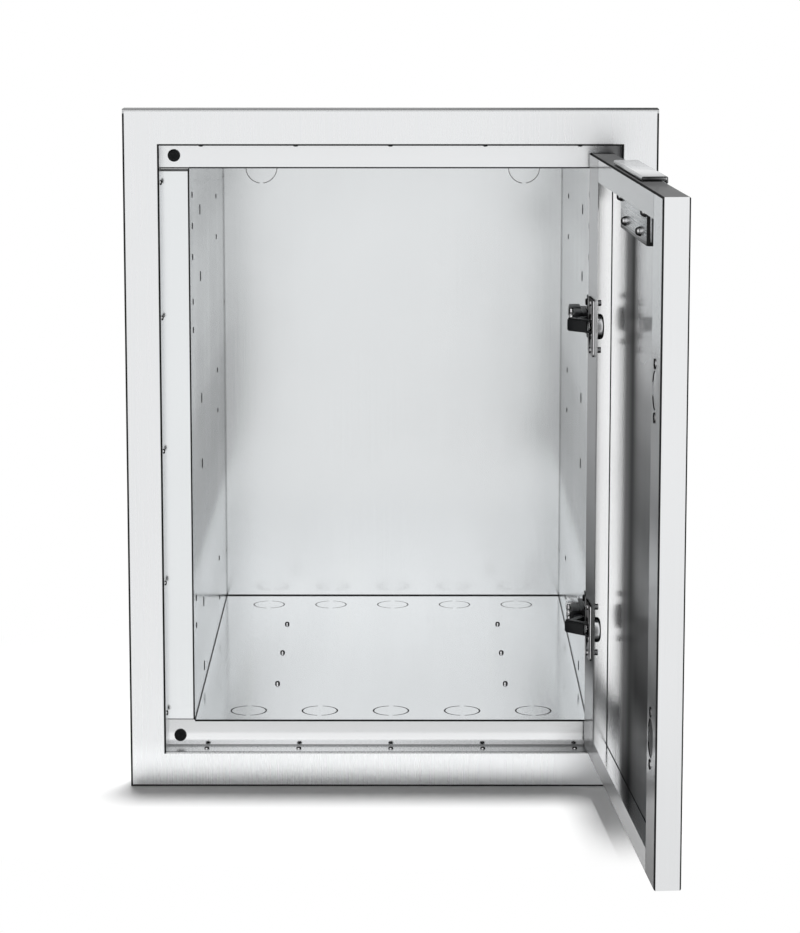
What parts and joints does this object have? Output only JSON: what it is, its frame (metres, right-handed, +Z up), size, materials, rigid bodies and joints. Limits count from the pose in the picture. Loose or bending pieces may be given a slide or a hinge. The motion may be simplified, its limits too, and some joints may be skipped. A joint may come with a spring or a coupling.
{
  "type": "outdoor kitchen cabinet",
  "caption": "Built-in stainless cabinet with a wide face frame, a deep open box with fixing holes and knockouts, and an inset door on concealed hinges, drawn open.",
  "frame": {"origin": "centre of the face frame's underside", "axes": "+X to the right as seen from the front, +Y into the box, +Z up"},
  "size_m": [0.586, 1.1273, 0.763],
  "materials": {
    "frame_sheet": "fine satin grain, bright",
    "box_sheet": "soft satin, paler on the back panel",
    "door_sheet": "smooth mill finish with soft reflections",
    "pull_steel": "polished edge",
    "fastener_steel": "plain bright steel",
    "hinge_steel": "nickel plate",
    "hinge_dark": "dark satin",
    "bumper_rubber": "matt black"
  },
  "bodies": {
    "cabinet": {"face_frame": "frame_sheet", "floor_panel": "box_sheet", "top_panel": "box_sheet", "left_side_panel": "box_sheet", "right_side_panel": "box_sheet", "back_panel": "box_sheet", "left_stiffener": "box_sheet", "right_stiffener": "box_sheet", "stiffener_rivets": "fastener_steel", "frame_screws": "fastener_steel", "seam_rivets": "fastener_steel", "back_rivets": "fastener_steel", "door_bumpers": "bumper_rubber", "upper_hinge_plate": "hinge_steel", "lower_hinge_plate": "hinge_steel", "hinge_plate_screws": "fastener_steel", "upper_hinge_arm": "hinge_dark", "lower_hinge_arm": "hinge_steel", "arm_adjusters": "hinge_steel"},
    "door": {"door_pan": "door_sheet", "pull_handle": "pull_steel", "pull_bracket": "door_sheet", "pull_cap_nuts": "fastener_steel", "upper_hinge_cup": "hinge_steel", "lower_hinge_cup": "hinge_steel", "cup_screws": "fastener_steel", "spare_cup_nuts": "fastener_steel"},
    "upper_inner_link": {"upper_inner_link": "hinge_dark"},
    "upper_outer_link": {"upper_outer_link": "hinge_steel"},
    "lower_inner_link": {"lower_inner_link": "hinge_dark"},
    "lower_outer_link": {"lower_outer_link": "hinge_steel"}
  },
  "joints": [
    {"name": "door_swing", "type": "hinge", "parent": "cabinet", "child": "door", "pos_m": [0.238, -0.01, 0.379], "axis": [0, 0, 1], "range_deg": [-94.3, 10.7]},
    {"name": "upper_inner_turn", "type": "hinge", "parent": "cabinet", "child": "upper_inner_link", "pos_m": [0.2146, 0.01034, 0.5265], "axis": [0, 0, 1], "range_deg": [-94.3, 10.7]},
    {"name": "upper_outer_turn", "type": "hinge", "parent": "upper_inner_link", "child": "upper_outer_link", "pos_m": [0.19853, -0.01193, 0.5265], "axis": [0, 0, 1], "range_deg": [-10.7, 94.3]},
    {"name": "lower_inner_turn", "type": "hinge", "parent": "cabinet", "child": "lower_inner_link", "pos_m": [0.2146, 0.01034, 0.186], "axis": [0, 0, 1], "range_deg": [-94.3, 10.7]},
    {"name": "lower_outer_turn", "type": "hinge", "parent": "lower_inner_link", "child": "lower_outer_link", "pos_m": [0.19853, -0.01193, 0.186], "axis": [0, 0, 1], "range_deg": [-10.7, 94.3]}
  ],
  "couplings": [
    {"joint": "upper_inner_turn", "follows": "door_swing", "ratio": 1},
    {"joint": "upper_outer_turn", "follows": "door_swing", "ratio": -1},
    {"joint": "lower_inner_turn", "follows": "door_swing", "ratio": 1},
    {"joint": "lower_outer_turn", "follows": "door_swing", "ratio": -1}
  ]
}
